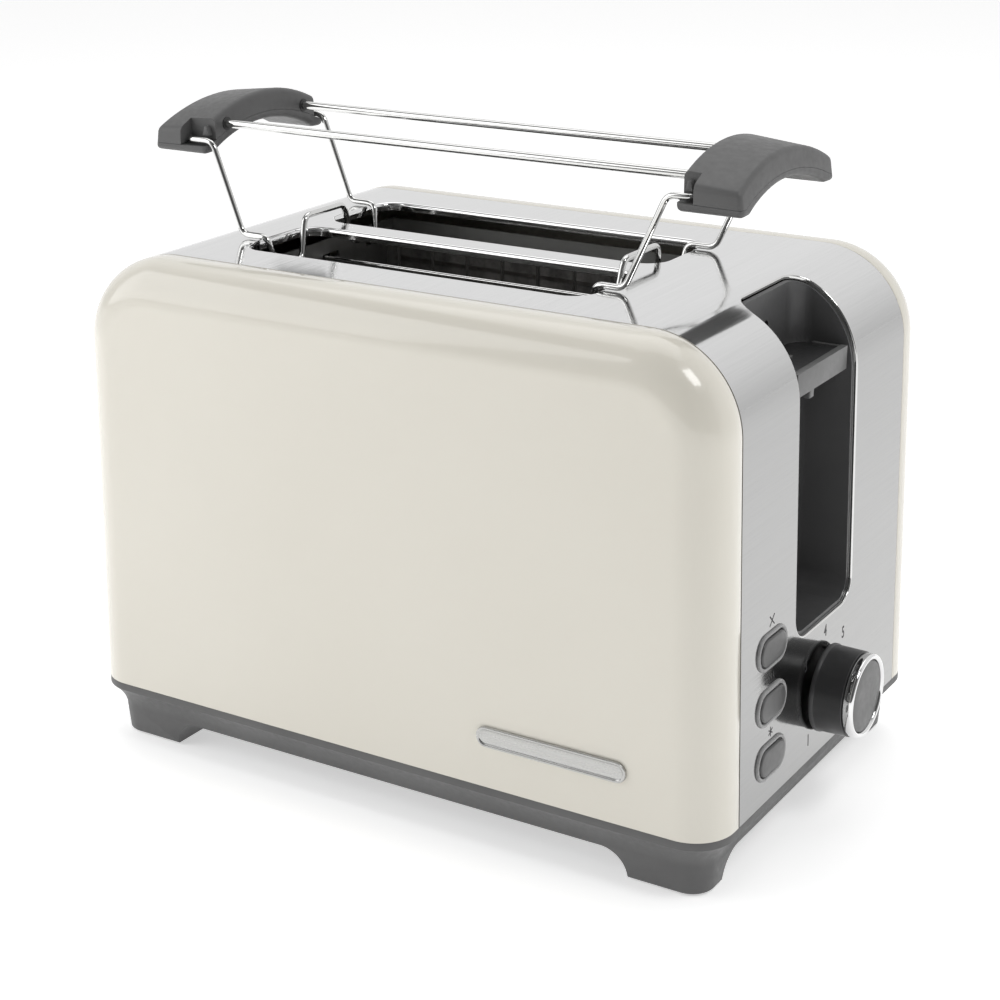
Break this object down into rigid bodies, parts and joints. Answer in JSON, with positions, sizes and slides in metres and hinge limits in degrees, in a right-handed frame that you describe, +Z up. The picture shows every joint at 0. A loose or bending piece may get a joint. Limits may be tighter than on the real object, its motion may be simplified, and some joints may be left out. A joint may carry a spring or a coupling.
{
  "type": "pop up toaster",
  "caption": "Long-bodied pop up toaster with painted side shells, a steel band with wide bread slots, side controls and a lift-off warming rack.",
  "frame": {"origin": "on the floor under the middle of the body", "axes": "+X along the length towards the control end, -Y is the front face, +Z up"},
  "size_m": [0.2938, 0.1842, 0.2468],
  "materials": {
    "cream_paint": "high gloss cream enamel",
    "steel": "fine brushed, polished on top",
    "grey_plastic": "mid grey, fine spark texture",
    "dark_plastic": "dark grey moulded",
    "button_plastic": "satin mid grey",
    "chrome": "bright",
    "rod_steel": "polished stainless wire",
    "chassis_steel": "aluminised sheet",
    "mica": "pressed mica board",
    "heater": "resistance ribbon",
    "rubber_pad": "soft pad",
    "board_green": "circuit board",
    "black_plastic": "black moulded",
    "coil_copper": "wound copper and iron"
  },
  "bodies": {
    "housing": {"base": "grey_plastic", "foot_pads": "rubber_pad", "base_screws": "chassis_steel", "cord_gland": "black_plastic", "front_shell": "cream_paint", "rear_shell": "cream_paint", "steel_band": "steel", "badge": "chrome", "well_liner": "dark_plastic", "guide_rod": "rod_steel", "lift_spring": "rod_steel", "electromagnet": "coil_copper", "control_board": "board_green", "dial_pot": "black_plastic", "button_frame": "grey_plastic", "tact_switches": "black_plastic", "chassis_left": "chassis_steel", "chassis_right": "chassis_steel", "shield_front": "chassis_steel", "shield_rear": "chassis_steel", "heater_board_front": "mica", "heater_board_middle": "mica", "heater_board_rear": "mica", "heater_ribbon_front": "heater", "heater_ribbon_middle": "heater", "heater_ribbon_rear": "heater"},
    "bread_carriage": {"lever": "grey_plastic", "carriage": "chassis_steel", "armature": "chassis_steel", "lifter_front": "chassis_steel", "lifter_rear": "chassis_steel"},
    "tray": {"crumb_tray": "chassis_steel"},
    "dial": {"dial_shaft": "chassis_steel", "dial_knob": "dark_plastic", "dial_ring": "chrome", "dial_cap": "button_plastic"},
    "cancel": {"button_cancel": "button_plastic"},
    "reheat": {"button_reheat": "button_plastic"},
    "defrost": {"button_defrost": "button_plastic"},
    "cage_front_outer": {"guide_front_outer": "rod_steel"},
    "cage_front_inner": {"guide_front_inner": "rod_steel"},
    "cage_rear_inner": {"guide_rear_inner": "rod_steel"},
    "cage_rear_outer": {"guide_rear_outer": "rod_steel"},
    "rack": {"rack_grip_left": "grey_plastic", "rack_grip_right": "grey_plastic", "rack_clamp_left": "grey_plastic", "rack_clamp_right": "grey_plastic", "rack_rods": "rod_steel"},
    "leg_left": {"rack_leg_left": "rod_steel"},
    "leg_right": {"rack_leg_right": "rod_steel"}
  },
  "joints": [
    {"name": "lever_slide", "type": "slide", "parent": "housing", "child": "bread_carriage", "axis": [0, 0, -1], "range_m": [0, 0.08], "stiffness_N_per_m": 60, "springref_m": -0.05, "deforming": ["lift_spring"]},
    {"name": "cage_front_outer_slide", "type": "slide", "parent": "housing", "child": "cage_front_outer", "axis": [0, 1, 0], "range_m": [0, 0.008]},
    {"name": "cage_front_inner_slide", "type": "slide", "parent": "housing", "child": "cage_front_inner", "axis": [0, -1, 0], "range_m": [0, 0.008]},
    {"name": "cage_rear_inner_slide", "type": "slide", "parent": "housing", "child": "cage_rear_inner", "axis": [0, 1, 0], "range_m": [0, 0.008]},
    {"name": "cage_rear_outer_slide", "type": "slide", "parent": "housing", "child": "cage_rear_outer", "axis": [0, -1, 0], "range_m": [0, 0.008]},
    {"name": "dial_turn", "type": "hinge", "parent": "housing", "child": "dial", "pos_m": [0.14, 0, 0.0495], "axis": [1, 0, 0], "range_deg": [0, 198]},
    {"name": "cancel_press", "type": "slide", "parent": "housing", "child": "cancel", "axis": [-1, 0, 0], "range_m": [0, 0.0018], "stiffness_N_per_m": 400},
    {"name": "reheat_press", "type": "slide", "parent": "housing", "child": "reheat", "axis": [-1, 0, 0], "range_m": [0, 0.0018], "stiffness_N_per_m": 400},
    {"name": "defrost_press", "type": "slide", "parent": "housing", "child": "defrost", "axis": [-1, 0, 0], "range_m": [0, 0.0018], "stiffness_N_per_m": 400},
    {"name": "tray_slide", "type": "slide", "parent": "housing", "child": "tray", "axis": [-1, 0, 0], "range_m": [0, 0.206]},
    {"name": "rack_lift", "type": "slide", "parent": "housing", "child": "rack", "axis": [0, 0, 1], "range_m": [0, 0.06]},
    {"name": "leg_left_fold", "type": "hinge", "parent": "rack", "child": "leg_left", "pos_m": [-0.119, 0, 0.2322], "axis": [0, -1, 0], "range_deg": [0, 42]},
    {"name": "leg_right_fold", "type": "hinge", "parent": "rack", "child": "leg_right", "pos_m": [0.095, 0, 0.2322], "axis": [0, 1, 0], "range_deg": [0, 42]}
  ],
  "couplings": [
    {"joint": "cage_front_outer_slide", "follows": "lever_slide", "ratio": 0.1},
    {"joint": "cage_front_inner_slide", "follows": "lever_slide", "ratio": 0.1},
    {"joint": "cage_rear_inner_slide", "follows": "lever_slide", "ratio": 0.1},
    {"joint": "cage_rear_outer_slide", "follows": "lever_slide", "ratio": 0.1}
  ]
}
